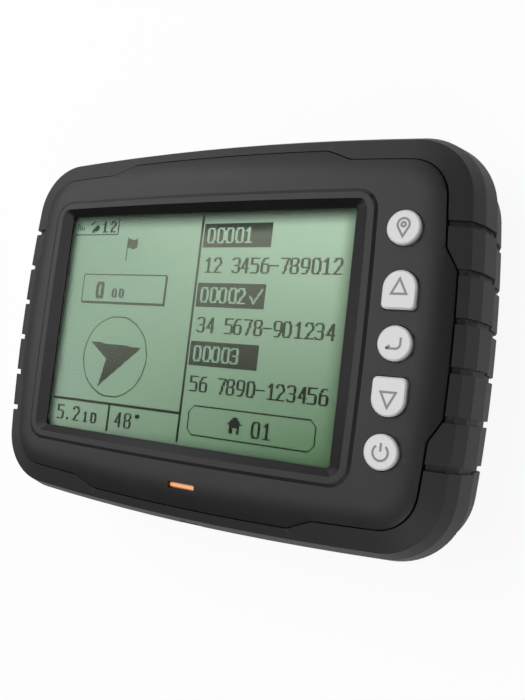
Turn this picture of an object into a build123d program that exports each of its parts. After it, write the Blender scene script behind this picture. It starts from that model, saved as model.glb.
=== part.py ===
from build123d import *
from functools import lru_cache
from math import hypot
import os

# Handheld satellite navigator: two hard shells in a rubber bumper, a sunk graphic screen,
# five keys beside it, a light bar under it and a battery behind a door in the back.
# The case lies on its back. +Z points out of the screen, +Y to the top of the screen and +X to
# the keys. The origin is the middle of the underside. All lengths are in millimetres.

# --- Case outline -----------------------------------------------------------------------------
case_length = 115.8       # X, over the bumpers
case_width = 84.8         # Y, over the bumpers
end_bow = 2.45            # how far each short end curves out
edge_bow = 2.3            # how far each long edge curves out
corner_radius = 14.5
side_bumper = 4.4         # bumper seen from the front, in the middle of each side
corner_bumper = 6.5       # the same at the four corners
end_narrow = 13.0         # half length of the narrow stretch on the ends
end_jog = 3.7             # length along the end in which the bumper widens
edge_narrow = 23.7        # half length of the narrow stretch on the long edges
edge_jog = 4.9
jog_radius = 3.0
least_radius = 0.2        # where an inset runs past the corner's own radius

# --- Heights above the back ---------------------------------------------------------------------
rim_height = 29.1         # top of the rim round the screen
key_stand = 0.75          # key tops above that rim
rim_step = 0.3            # the rim stands this much above the face beside it
rim_slope = 0.7           # width over which the rim falls to the face
face_drop = 1.95          # rim down to where the face meets the narrow bumper
face_round = 7.0          # width over which the face curves down to its edge
face_facets = 5           # facets that draw the curve
back_edge = 2.2           # back where it meets the narrow bumper
split_height = 12.0       # joint between the two shells
belt_drop = 11.1          # rim down to the widest line of the bumper
belt_bottom = 11.5
end_lean = 1.6            # the ends lean in this much from the belt down to the joint
shoulder_inset = 0.9
shoulder_rise = 5.1       # belt to shoulder line
brow_inset = 2.4
brow_rise = 3.4           # shoulder line to front edge of the bumper
brow_slope = 0.33         # rise of the bumper's front facet for each millimetre inwards

# --- Shells -------------------------------------------------------------------------------------
wall = 2.2
face_thickness = 3.8      # rim down to the inside of the front shell
back_floor = 4.2          # inside of the back
back_bevel = 11.3         # flat of the back to the bumper's widest line
fit = 0.2                 # clearance of pieces that drop into place
seal_width = 1.0          # case seal
seal_depth = 0.8
seal_inset = 0.6
seam_width = 0.3          # open seam between shell and bumper, where it shows
seam_depth = 1.4

# --- Grip grooves -------------------------------------------------------------------------------
groove_count = 6
groove_pitch = 8.8
groove_width = 1.2
groove_depth = 0.65

# --- Screen -------------------------------------------------------------------------------------
screen_x = -4.35          # middle of the screen
screen_y = 0.35
window_length = 74.2
window_width = 50.5
window_radius = 0.8
window_bow = 0.1
recess_length = 80.2
recess_width = 54.2
recess_bow = 0.5
recess_depth = 1.05
recess_radius = 2.0
rim_width = 1.9
rim_radius = 4.5
window_lip = 0.35         # thickness of the lip over the window's edge
lens_margin = 1.5         # window pane past the opening, each side
lens_thickness = 1.1
tape_thickness = 0.15
tape_width = 1.0
cell_thickness = 2.0
backlight_thickness = 2.5
tray_wall = 0.8
tray_floor = 0.95
cell_margin = 0.9         # display cell past the opening, each side

# --- Keys ---------------------------------------------------------------------------------------
key_radius = 3.28
key_flat = 3.95           # middle of the round end to the flat side of a D-shaped key
key_corner = 1.0
key_chamfer = 0.3
key_gap = 0.2             # key to the edge of its hole
key_travel = 0.6
key_play = 0.2            # flange to the underside of the face at rest
key_flange = 0.6          # flange past the key
flange_thickness = 0.8
stem_radius = 1.6
dome_gap = 0.05           # left between stem and dome when the key is fully down
dome_radius = 2.5
dome_height = 0.5
key_column = 43.5         # X of the middle key
key_column_bow = 0.5      # the end keys stand this much nearer the screen
key_pocket_depth = 1.1    # pocket over the key flanges, above the inside of the front shell
pad_thickness = 0.8       # keypad seal
pad_margin = 1.3          # keypad seal past the key flanges
key_places = {"waypoint": ("round", 20.9), "up": ("flat_below", 9.65), "enter": ("round", -0.55),
              "down": ("flat_above", -10.65), "power": ("round", -20.3)}

# --- Light bar ----------------------------------------------------------------------------------
light_x = -0.15
light_y = -33.2
light_length = 6.5
light_width = 1.2
light_slot_margin = 0.1
light_flange = 0.7
light_flange_thickness = 0.6

# --- Main board ---------------------------------------------------------------------------------
board_thickness = 1.6
board_left = -48.2
board_right = 49.4
board_half_width = 25.8
tongue_half_length = 13.6
tongue_overlap = 0.8      # mouth of the charging socket past the board's lower tongue
antenna_tongue_half = 8.0
antenna_tongue_end = 29.8

# Parts under the board: middle X and Y, then length, width and height
processor_size = (-8.0, 8.0, 14.0, 14.0, 1.4)
memory_size = (-8.0, -8.0, 11.0, 9.0, 1.2)
coil_size = (18.0, -10.0, 7.0, 7.0, 3.2)
can_size = (16.0, 12.0, 24.0, 18.0, 2.6)
buzzer_place = (-32.0, 12.0)
buzzer_radius = 6.0
buzzer_height = 3.6
backup_place = (-32.0, -12.0)
backup_radius = 6.25      # coin cell that keeps the clock
backup_height = 2.2
lamp_length = 3.2
lamp_width = 1.6
lamp_height = 1.0
flex_length = 18.0        # display tail, along the cell's edge
flex_thickness = 0.2
flex_drop = 3.2           # cell's edge to the tail's bend
connector_length = 20.0
connector_width = 1.8
connector_height = 1.1

# --- Screws and inserts -------------------------------------------------------------------------
case_screw_x = 45.0
case_screw_y = 29.2
mid_screw_x = 17.0
mid_screw_y = 32.6
case_screw_radius = 1.25
case_screw_head = 2.4
case_head_height = 2.0
case_seat = 7.0           # height of the screw seat above the back
case_screw_reach = 8.0    # thread in the front shell
case_boss = 2.8
counterbore_boss = 3.5
board_screw_left = -45.7
board_screw_y = 20.0
board_screw_radius = 0.8
board_screw_head = 1.6
board_head_height = 1.3
board_screw_reach = 3.0
board_boss = 1.3
mount_y = 26.0
mount_radius = 4.0        # outside of the brass mount insert
mount_thread = 2.55       # bore for a quarter-inch camera screw
mount_depth = 8.0
mount_boss = 5.5

# --- Battery ------------------------------------------------------------------------------------
battery_length = 62.0
battery_width = 41.5
battery_thickness = 8.8
battery_play = 1.5        # battery to each side wall of its bay
foam_length = 40.0
foam_width = 26.0
foam_thickness = 0.6
bay_y = -4.0
bay_wall = 1.6
bay_floor = 1.4
door_end_margin = 8.5     # door past the bay, where its screws are
door_edge_margin = 2.5
door_radius = 4.0
door_thickness = 1.95
door_sink = 0.15          # door below the back
door_screw_margin = 4.9   # bay to the door screws
door_screw_radius = 1.5
door_head = 2.7
door_head_height = 1.2
insert_radius = 2.3
insert_length = 4.0
gasket_width = 1.2
gasket_depth = 0.7
gasket_margin = 0.7       # bay to gasket groove
pin_radius = 0.8
pin_x = 27.0
pin_pitch = 4.0

# --- Port door ----------------------------------------------------------------------------------
socket_length = 9.0
socket_height = 3.2
socket_depth = 7.4
port_length = 10.4        # opening in the shell
port_height = 4.2
port_door_length = 19.0
port_door_rise = 4.1      # middle of the socket to the door's upper edge
port_door_thickness = 2.6
hinge_drop = 2.9          # middle of the socket down to the hinge line
hinge_inset = 1.35        # hinge line inside the bumper's widest line
hinge_radius = 1.15
hinge_pin_radius = 0.6
hinge_play = 0.025
ear_thickness = 1.4
ear_height = 3.0
door_gap = 0.3
port_pad_length = 13.2
port_pad_height = 5.6
port_pad_gap = 0.2

# --- Antenna ------------------------------------------------------------------------------------
patch_size = 12.0
patch_thickness = 4.0
antenna_board_size = 12.4
antenna_board_thickness = 0.8


# --- Heights and places that follow from the sizes above ----------------------------------------
face_edge = rim_height - face_drop
belt_top = rim_height - belt_drop
front_ceiling = rim_height - face_thickness
recess_floor = rim_height - recess_depth
lens_top = recess_floor - window_lip - tape_thickness
lens_bottom = lens_top - lens_thickness
cell_bottom = lens_bottom - cell_thickness
backlight_bottom = cell_bottom - backlight_thickness
board_top = backlight_bottom - tray_floor
board_bottom = board_top - board_thickness
tray_half_length = window_length / 2 + cell_margin + fit + tray_wall
board_screw_right = screen_x + tray_half_length + 0.15 + board_boss
key_pocket_height = front_ceiling + key_pocket_depth
flange_top = key_pocket_height - key_play
flange_bottom = flange_top - flange_thickness
pad_top = flange_bottom - key_travel - 0.1
stem_bottom = board_top + dome_height + dome_gap + key_travel
door_top = door_sink + door_thickness
battery_bottom = door_top + foam_thickness
bay_depth = battery_bottom + battery_thickness + 0.1
bay_top = bay_depth + bay_floor
bay_length = battery_length + 2 * battery_play
bay_width = battery_width + 2 * battery_play
door_length = bay_length + 2 * door_end_margin
door_width = bay_width + 2 * door_edge_margin
door_screw_x = bay_length / 2 + door_screw_margin
shell_y = -(case_width / 2 - side_bumper)
socket_face = shell_y + wall + 0.1
tongue_end = socket_face + tongue_overlap
port_z = board_bottom - socket_height / 2
port_door_top = port_z + port_door_rise
hinge_z = port_z - hinge_drop
hinge_y = -(case_width / 2 - hinge_inset)
antenna_top = front_ceiling - fit


# --- Shapes shared by several pieces ------------------------------------------------------------
def bowed_box(length, width, bow_x, bow_y, radius, inset=0.0):
    """Rounded rectangle with bowed sides, drawn this far inside the given one.

    Length and width are measured over the bows. Each side is an arc, and an inset side keeps
    the arc's centre, so the gap between two insets is the same all the way round."""
    half_x, half_y = length / 2, width / 2
    corner_x, corner_y = half_x - bow_x, half_y - bow_y
    end_radius = (bow_x ** 2 + corner_y ** 2) / (2 * bow_x)
    edge_radius = (bow_y ** 2 + corner_x ** 2) / (2 * bow_y)
    if inset:
        corner_x, corner_y = circles_meet((half_x - end_radius, 0), end_radius - inset,
                                          (0, half_y - edge_radius), edge_radius - inset)
        half_x, half_y = half_x - inset, half_y - inset
    right = ThreePointArc((corner_x, -corner_y), (half_x, 0), (corner_x, corner_y))
    top = ThreePointArc((corner_x, corner_y), (0, half_y), (-corner_x, corner_y))
    left = ThreePointArc((-corner_x, corner_y), (-half_x, 0), (-corner_x, -corner_y))
    bottom = ThreePointArc((-corner_x, -corner_y), (0, -half_y), (corner_x, -corner_y))
    face = make_face((right + top + left + bottom).edges())
    return fillet(face.vertices(), radius - inset)


def circles_meet(centre_a, radius_a, centre_b, radius_b):
    """Where two circles cross, on the side of larger X and Y."""
    (ax, ay), (bx, by) = centre_a, centre_b
    apart = hypot(bx - ax, by - ay)
    along = (radius_a ** 2 - radius_b ** 2 + apart ** 2) / (2 * apart)
    aside = (radius_a ** 2 - along ** 2) ** 0.5
    ux, uy = (bx - ax) / apart, (by - ay) / apart
    return max((ax + along * ux - s * aside * uy, ay + along * uy + s * aside * ux) for s in (-1, 1))


@lru_cache(maxsize=None)
def outline(inset=0.0, lean=0.0):
    """Outline of the whole case, this far inside the bumper's widest line, with its ends leant in."""
    return bowed_box(case_length - 2 * lean, case_width, end_bow, edge_bow, corner_radius, inset)


def mirrored_polygon(corner_a, corner_b, inset):
    """Eight-sided face through two corners and their mirror images, drawn this far inside."""
    quarter = [corner_a, corner_b]
    points = quarter + [(-x, y) for x, y in reversed(quarter)]
    points += [(-x, -y) for x, y in quarter] + [(x, -y) for x, y in reversed(quarter)]
    face = make_face(Polyline(*points, close=True).edges())
    return offset(face, -inset, kind=Kind.INTERSECTION) if inset else face


@lru_cache(maxsize=None)
def shell_outline(inset=0.0):
    """Line between the hard shells and the bumper, which is narrow mid-side and wide at corners."""
    step = corner_bumper - side_bumper
    end_x, edge_y = case_length / 2 - side_bumper, case_width / 2 - side_bumper
    ends = mirrored_polygon((end_x + step, end_narrow - end_jog),
                            (end_x - 3 * step, end_narrow + 3 * end_jog), inset)
    edges = mirrored_polygon((edge_narrow + 3 * edge_jog, edge_y - 3 * step),
                             (edge_narrow - edge_jog, edge_y + step), inset)
    narrow = outline(side_bumper + inset)
    shape = outline(corner_bumper + inset) + (narrow & ends) + (narrow & edges)
    shape = fillet([jog_ends(edge)[1] for edge in shape.edges().filter_by(GeomType.LINE)], jog_radius + inset)
    inward_radius = max(jog_radius - inset, least_radius)
    return fillet([jog_ends(edge)[0] for edge in shape.edges().filter_by(GeomType.LINE)], inward_radius)


def seam_ring():
    return shell_outline() - shell_outline(seam_width)


def jog_ends(edge):
    """The outward and then the inward corner of one slanted line of the shell's outline."""
    return sorted(edge.vertices(), key=lambda v: min(abs(v.X), abs(v.Y)))


def block(face, low, high):
    """Straight-sided solid over a face, between two heights."""
    return extrude(Pos(0, 0, low) * face, high - low)


def stack(*sections):
    """Solid with flat facets between outlines given as (face, height)."""
    return loft([Pos(0, 0, height) * face for face, height in sections], ruled=True)


def screen_box(length, width, radius=0.3):
    """Rounded rectangle centred on the screen."""
    return Pos(screen_x, screen_y) * RectangleRounded(length, width, radius)


def screen_bow(grow, radius):
    """Outline parallel to the edge of the screen's recess, this far outside it."""
    return Pos(screen_x, screen_y) * bowed_box(recess_length + 2 * grow, recess_width + 2 * grow, recess_bow,
                                               recess_bow, radius)


def post(x, y, radius, low, high):
    return Pos(x, y, low) * Cylinder(radius, high - low, align=(Align.CENTER, Align.CENTER, Align.MIN))


def brick(x_range, y_range, z_range):
    """Box between two values on each axis."""
    size = [high - low for low, high in (x_range, y_range, z_range)]
    corner = Pos(x_range[0], y_range[0], z_range[0])
    return corner * Box(*size, align=(Align.MIN, Align.MIN, Align.MIN))


def joined(pieces):
    """One compound of separate solids."""
    return Compound(children=list(pieces))


case_screw_places = [(side * x, end * y)
                     for x, y in ((case_screw_x, case_screw_y), (mid_screw_x, mid_screw_y))
                     for side in (-1, 1) for end in (-1, 1)]
board_screw_places = [(x, end * board_screw_y)
                      for x in (board_screw_left, board_screw_right) for end in (-1, 1)]


def bumper_solid(front, shrink=0.0):
    """Facetted outer form of one bumper half; shrink pulls every facet in."""
    sign = 1 if front else -1
    belt = belt_top if front else belt_bottom
    lean = 0 if front else end_lean
    inner_inset = corner_bumper + 0.6
    brow = belt + sign * (shoulder_rise + brow_rise)
    lip = brow + sign * brow_slope * (inner_inset - brow_inset)
    return stack((outline(shrink, end_lean), split_height), (outline(shrink, lean), belt),
                 (outline(shoulder_inset + shrink, lean / 2), belt + sign * (shoulder_rise - shrink / 2)),
                 (outline(brow_inset + shrink, lean / 4), brow - sign * shrink),
                 (outline(inner_inset), lip - sign * shrink))


def grooves(front):
    """Cross grooves on both ends, cut to one depth below every facet."""
    first = -groove_pitch * (groove_count - 1) / 2
    low, high = (split_height, rim_height) if front else (0, split_height)
    half = case_length / 2 + 1
    slabs = [brick((-half, half), (y - groove_width / 2, y + groove_width / 2), (low, high))
             for y in (first + groove_pitch * i for i in range(groove_count))]
    return joined(slabs) - bumper_solid(front, groove_depth)


def key_outline(kind, grow=0.0):
    """Outline of a key: a disc, or a D with its flat side below or above."""
    radius = key_radius + grow
    if kind == "round":
        return Circle(radius)
    square = Rectangle(2 * radius, key_flat + grow, align=(Align.CENTER, Align.MAX))
    shape = Circle(radius) + square
    shape = fillet(shape.vertices().group_by(Axis.Y)[0], key_corner)
    return shape if kind == "flat_below" else Rot(0, 0, 180) * shape


def key_place(name):
    """Centre of a key's round end, on the gently curved column."""
    y = key_places[name][1]
    reach = key_places["waypoint"][1]
    return Pos(key_column - key_column_bow * (y / reach) ** 2, y)


def key_field(margin):
    """Rectangle round all the key flanges."""
    reach = key_radius + key_flange + margin
    low = min(y for _, y in key_places.values()) - reach
    high = max(y for _, y in key_places.values()) + reach
    left = key_column - key_column_bow - reach
    right = key_column + reach
    return Pos((left + right) / 2, (low + high) / 2) * RectangleRounded(right - left, high - low, 1.5)


# --- Shells and bumper --------------------------------------------------------------------------
def port_pocket():
    """Space in the bumper that the port door fills."""
    half = port_door_length / 2 + door_gap
    low = hinge_z - hinge_radius - 0.4
    return brick((-half, half), (-case_width, shell_y + 1), (low, port_door_top + door_gap))


def front_housing():
    rim, rim_top = screen_bow(rim_width, rim_radius), screen_bow(rim_width - rim_slope, rim_radius - rim_slope)
    base_inset = side_bumper - 0.5
    face_top = rim_height - rim_step
    # the face curves down to the bumper in narrow facets, each a little steeper than the last
    steps = [i / face_facets for i in range(face_facets + 1)]
    face = [(outline(base_inset + t * face_round), face_top - (face_top - face_edge) * (1 - t) ** 2) for t in steps]
    body = stack((outline(base_inset), split_height), *face)
    body &= block(shell_outline(), split_height, rim_height)
    body -= block(seam_ring(), face_edge - seam_depth, rim_height)
    body += stack((rim, face_top - 0.05), (rim, face_top), (rim_top, rim_height))
    # screen recess, window opening, and the pockets that the pane and the tray sit in from behind
    recess = screen_bow(0.1, recess_radius)
    window = bowed_box(window_length, window_width, window_bow, window_bow, window_radius)
    window = Pos(screen_x, screen_y) * window
    body -= stack((window, recess_floor), (recess, rim_height + 0.1))
    body -= block(window, split_height, recess_floor)
    pane = 2 * (lens_margin + fit)
    body -= block(screen_box(window_length + pane, window_width + pane), split_height,
                  lens_top + tape_thickness)
    tray = 2 * (cell_margin + fit + tray_wall + fit)
    body -= block(screen_box(window_length + tray, window_width + tray), split_height, lens_bottom)
    # inside of the shell, then what stands in it
    inside = block(shell_outline(wall), split_height, front_ceiling)
    bosses = [post(x, y, case_boss, split_height, front_ceiling) for x, y in case_screw_places]
    bosses += [post(x, y, board_boss, board_top, front_ceiling) for x, y in board_screw_places]
    frame = block(key_field(pad_margin + 0.3), pad_top, front_ceiling)
    body -= inside - joined(bosses) - frame
    body -= block(key_field(pad_margin - 0.7) & shell_outline(wall), pad_top, key_pocket_height)
    for name, (kind, _) in key_places.items():
        body -= block(key_place(name) * key_outline(kind, key_gap), key_pocket_height - 1, rim_height)
    slot = Pos(light_x, light_y) * RectangleRounded(light_length + 2 * light_slot_margin,
                                                    light_width + 2 * light_slot_margin, 0.3)
    body -= block(slot, front_ceiling - 1, rim_height)
    for x, y in case_screw_places:
        body -= post(x, y, case_screw_radius, split_height, split_height + case_screw_reach + 0.5)
    for x, y in board_screw_places:
        body -= post(x, y, board_screw_radius, board_top, board_top + board_screw_reach + 0.4)
    # charging port and the two ears that carry the port door's pin
    half = port_length / 2
    low = port_z - port_height / 2
    body -= brick((-half, half), (shell_y - 1, shell_y + wall + 1), (low, low + port_height))
    outer = port_door_length / 2
    ear_low = hinge_z - ear_height / 2
    for side in (-1, 1):
        x_range = sorted((side * outer, side * (outer - ear_thickness)))
        body += brick(x_range, (hinge_y, shell_y + 0.3), (ear_low, ear_low + ear_height))
        middle = side * (outer - ear_thickness / 2)
        body += Pos(middle, 0, 0) * hinge_rod(hinge_radius, ear_thickness / 2)
    return body - hinge_rod(hinge_pin_radius, outer + 0.1)


def hinge_rod(radius, half):
    """Rod along the port door's hinge line."""
    return Pos(0, hinge_y, hinge_z) * Rot(0, 90, 0) * Cylinder(radius, 2 * half)


def front_bumper():
    body = bumper_solid(True) - block(shell_outline(), 0, 2 * rim_height) - grooves(True)
    body -= port_pocket()
    scoop = Pos(0, -case_width / 2 - 0.6, port_door_top + door_gap) * Rot(90, 0, 0) * Cylinder(3.0, 4.0)
    return body - scoop


def rear_bumper():
    return bumper_solid(False) - block(shell_outline(), -rim_height, rim_height) - grooves(False)


def rear_housing():
    plateau = bowed_box(case_length - 2 * back_bevel, case_width - 2 * back_bevel, 1.0, 1.0, 6.0)
    base = outline(side_bumper - 0.5)
    body = stack((plateau, 0), (base, back_edge + 0.05), (base, split_height))
    body &= block(shell_outline(), 0, split_height)
    body -= block(seam_ring(), 0, back_edge + seam_depth)
    bay = Pos(0, bay_y) * RectangleRounded(bay_length, bay_width, 2.0)
    bay_outside = Pos(0, bay_y) * RectangleRounded(bay_length + 2 * bay_wall, bay_width + 2 * bay_wall, 3.0)
    solids = [block(bay_outside, back_floor, bay_top)]
    solids += [post(x, y, counterbore_boss, 0, split_height) for x, y in case_screw_places]
    solids += [post(side * door_screw_x, bay_y, insert_radius + 1.2, 0, door_top + insert_length + 1.2)
               for side in (-1, 1)]
    solids.append(post(0, mount_y, mount_boss, 0, mount_depth + 2.0))
    inside = block(shell_outline(wall), back_floor, split_height)
    for solid in solids:
        inside -= solid
    body -= inside
    body += block(bay_outside, split_height - 1, bay_top)
    body -= block(bay, 0, bay_depth)
    door_recess = RectangleRounded(door_length + 2 * fit, door_width + 2 * fit, door_radius + fit)
    body -= block(Pos(0, bay_y) * door_recess, 0, door_top)
    body -= block(gasket_ring(), door_top, door_top + gasket_depth)
    body -= block(seal_ring(), split_height - seal_depth, split_height)
    for x, y in case_screw_places:
        body -= post(x, y, case_screw_head + fit, 0, case_seat)
        body -= post(x, y, case_screw_radius + 0.1, case_seat, split_height)
    for side in (-1, 1):
        body -= post(side * door_screw_x, bay_y, insert_radius, door_top, door_top + insert_length)
    for x, y in pin_places():
        body -= post(x, y, pin_radius + 0.1, bay_depth, bay_top)
    return body - post(0, mount_y, mount_radius, 0, mount_depth)


def gasket_ring():
    length = bay_length + 2 * gasket_margin
    width = bay_width + 2 * gasket_margin
    outer = RectangleRounded(length + 2 * gasket_width, width + 2 * gasket_width, 3.0 + gasket_width)
    return Pos(0, bay_y) * (outer - RectangleRounded(length, width, 3.0))


def seal_ring():
    return shell_outline(seal_inset) - shell_outline(seal_inset + seal_width)


def pin_places():
    return [(pin_x, bay_y + i * pin_pitch) for i in (-1, 0, 1)]


# --- Screen stack -------------------------------------------------------------------------------
def screen_stack():
    pane = (window_length + 2 * lens_margin, window_width + 2 * lens_margin)
    hole = (pane[0] - 2 * tape_width, pane[1] - 2 * tape_width)
    cell = (window_length + 2 * cell_margin, window_width + 2 * cell_margin)
    tray = (cell[0] + 2 * (fit + tray_wall), cell[1] + 2 * (fit + tray_wall))
    tape = screen_box(*pane) - screen_box(*hole)
    tray_body = block(screen_box(*tray, 1.0), board_top, lens_bottom - 0.15)
    tray_body -= block(screen_box(cell[0] + 2 * fit, cell[1] + 2 * fit, 0.5), backlight_bottom, lens_bottom)
    cell_edge = screen_y - cell[1] / 2
    tail_top = cell_bottom + 0.5
    slot_half = flex_length / 2 + 0.5
    tray_body -= brick((screen_x - slot_half, screen_x + slot_half), (cell_edge - flex_drop, cell_edge),
                       (cell_bottom, lens_bottom))
    knee = cell_edge - flex_drop
    toe = knee - 0.8
    foot = board_top + 0.4
    along = (screen_x - flex_length / 2, screen_x + flex_length / 2)
    tail = [brick(along, (knee, cell_edge), (tail_top - flex_thickness, tail_top)),
            brick(along, (knee, knee + flex_thickness), (foot, tail_top)),
            brick(along, (toe, knee + flex_thickness), (foot, foot + flex_thickness))]
    connector = brick((screen_x - connector_length / 2, screen_x + connector_length / 2),
                      (toe - connector_width, toe), (board_top, board_top + connector_height))
    return {
        "lens": block(screen_box(*pane), lens_bottom, lens_top),
        "lens_tape": block(tape, lens_top, lens_top + tape_thickness),
        "lcd_cell": block(screen_box(*cell), cell_bottom, lens_bottom),
        "backlight": block(screen_box(*cell), backlight_bottom, cell_bottom),
        "lcd_tray": tray_body,
        "lcd_flex": tail[0] + tail[1] + tail[2],
        "flex_connector": connector,
    }


# --- Keys ---------------------------------------------------------------------------------------
def key(name):
    """Hard key with a flange that holds it in the shell and a stem down to its dome."""
    kind = key_places[name][0]
    place = key_place(name)
    top = rim_height + key_stand
    cap = block(key_outline(kind), flange_top, top)
    cap = chamfer(cap.faces().sort_by(Axis.Z)[-1].edges(), key_chamfer)
    flange = block(key_outline(kind, key_flange), flange_bottom, flange_top)
    stem = post(0, 0, stem_radius, stem_bottom, flange_bottom)
    return place * (cap + flange + stem)


def keypad_seal():
    sheet = block(key_field(pad_margin) & shell_outline(wall + fit), pad_top - pad_thickness, pad_top)
    for name in key_places:
        sheet -= key_place(name) * post(0, 0, stem_radius + 0.3, 0, rim_height)
    for places, radius in ((case_screw_places, case_boss), (board_screw_places, board_boss)):
        for x, y in places:
            sheet -= post(x, y, radius + fit, split_height, rim_height)
    return sheet


def snap_domes():
    """Five shallow steel domes, each a cap cut from a sphere."""
    sphere_radius = (dome_radius ** 2 + dome_height ** 2) / (2 * dome_height)
    cap = Pos(0, 0, board_top + dome_height - sphere_radius) * Sphere(sphere_radius)
    cap &= post(0, 0, dome_radius, board_top, board_top + dome_height)
    return joined(key_place(name) * cap for name in key_places)


# --- Light bar ----------------------------------------------------------------------------------
def light_bar():
    place = Pos(light_x, light_y)
    bar = block(place * RectangleRounded(light_length, light_width, 0.3), front_ceiling, rim_height - 1.25)
    foot = RectangleRounded(light_length + 2 * light_flange, light_width + 2 * light_flange, 0.4)
    flange = block(place * foot, front_ceiling - light_flange_thickness, front_ceiling)
    guide = place * Rectangle(lamp_length - fit, lamp_width - fit)
    return bar + flange + block(guide, board_top + lamp_height, front_ceiling)


def status_lamp():
    """Lamp on the board, right under the light bar."""
    return brick((light_x - lamp_length / 2, light_x + lamp_length / 2),
                 (light_y - lamp_width / 2, light_y + lamp_width / 2), (board_top, board_top + lamp_height))


# --- Board and what it carries ------------------------------------------------------------------
def main_board():
    board = brick((board_left, board_right), (-board_half_width, board_half_width), (board_bottom, board_top))
    board += brick((-tongue_half_length, tongue_half_length), (tongue_end, 0), (board_bottom, board_top))
    board += brick((-antenna_tongue_half, antenna_tongue_half), (0, antenna_tongue_end),
                   (board_bottom, board_top))
    board &= block(shell_outline(wall + 2 * fit), board_bottom, board_top)
    for x, y in board_screw_places:
        board -= post(x, y, board_screw_radius + 0.1, board_bottom, board_top)
    return board


def under_board(x, y, length, width, height):
    """Flat component on the underside of the board."""
    return brick((x - length / 2, x + length / 2), (y - width / 2, y + width / 2),
                 (board_bottom - height, board_bottom))


def shield_can():
    can = under_board(*can_size)
    return fillet(can.edges().filter_by(Axis.Z), 1.0)


def antenna_board():
    half = antenna_board_size / 2
    return brick((-half, half), (antenna_tongue_end, antenna_tongue_end + antenna_board_thickness),
                 (antenna_top - antenna_board_size, antenna_top))


def antenna_patch():
    start = antenna_tongue_end + antenna_board_thickness
    half = patch_size / 2
    middle = antenna_top - antenna_board_size / 2
    return brick((-half, half), (start, start + patch_thickness), (middle - half, middle + half))


def charging_socket():
    half = socket_length / 2
    back = socket_face + socket_depth
    body = brick((-half, half), (socket_face, back), (board_bottom - socket_height, board_bottom))
    body = fillet(body.edges().filter_by(Axis.Y), 1.0)
    hollow = brick((-half + 0.4, half - 0.4), (socket_face, back - 1.2),
                   (board_bottom - socket_height + 0.4, board_bottom - 0.4))
    tongue = brick((-half + 1.4, half - 1.4), (socket_face + 0.8, back - 1.2),
                   (port_z - 0.35, port_z + 0.35))
    return body - hollow + tongue


# --- Port door ----------------------------------------------------------------------------------
def port_door():
    half = port_door_length / 2
    knuckle = half - ear_thickness - 0.15
    inner = -(case_width / 2) + port_door_thickness
    slab = brick((-half, half), (-case_width, inner), (hinge_z, port_door_top)) & bumper_solid(True)
    for side in (-1, 1):
        x_range = sorted((side * knuckle, side * (half + 1)))
        slab -= brick(x_range, (-case_width, inner + 1), (0, hinge_z + ear_height / 2 + 0.2))
    return slab + hinge_rod(hinge_radius, knuckle) - hinge_rod(hinge_pin_radius + hinge_play, half + 1)


def port_seal():
    half = port_pad_length / 2
    inner = -(case_width / 2) + port_door_thickness
    low = port_z - port_pad_height / 2
    return brick((-half, half), (inner, shell_y - port_pad_gap), (low, low + port_pad_height))


# --- Battery ------------------------------------------------------------------------------------
def battery_pack():
    shape = Pos(0, bay_y) * RectangleRounded(battery_length, battery_width, 2.0)
    pack = block(shape, battery_bottom, battery_bottom + battery_thickness)
    return fillet(pack.edges().filter_by(Plane.XY), 1.0)


def battery_door():
    plate = block(Pos(0, bay_y) * RectangleRounded(door_length, door_width, door_radius), door_sink, door_top)
    plate = chamfer(plate.faces().sort_by(Axis.Z)[0].edges(), 0.4)
    for side in (-1, 1):
        plate -= post(side * door_screw_x, bay_y, door_head + 0.1, 0, door_sink + door_head_height)
        plate -= post(side * door_screw_x, bay_y, door_screw_radius + 0.1, 0, door_top)
    return plate


def screw(x, y, radius, head_radius, head_height, seat, reach):
    """Machine screw driven upwards, with its head below the seat and a cross slot in the head."""
    body = post(x, y, head_radius, seat - head_height, seat) + post(x, y, radius, seat, seat + reach)
    depth = head_height * 0.5
    low = seat - head_height
    for length, width in ((head_radius * 1.3, 0.5), (0.5, head_radius * 1.3)):
        body -= brick((x - length / 2, x + length / 2), (y - width / 2, y + width / 2), (low, low + depth))
    return body


def sleeve(x, y, outer, inner, low, high):
    """Threaded insert, bored through."""
    return post(x, y, outer, low, high) - post(x, y, inner, low, high)


def door_screw(side):
    seat = door_sink + door_head_height
    return screw(side * door_screw_x, bay_y, door_screw_radius, door_head, door_head_height - 0.1, seat,
                 door_thickness - door_head_height + insert_length - 0.3)


def case_screw(x, y):
    reach = split_height - case_seat + case_screw_reach
    return screw(x, y, case_screw_radius, case_screw_head, case_head_height, case_seat, reach)


def board_screw(x, y):
    reach = board_thickness + board_screw_reach
    return screw(x, y, board_screw_radius, board_screw_head, board_head_height, board_bottom, reach)


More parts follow.
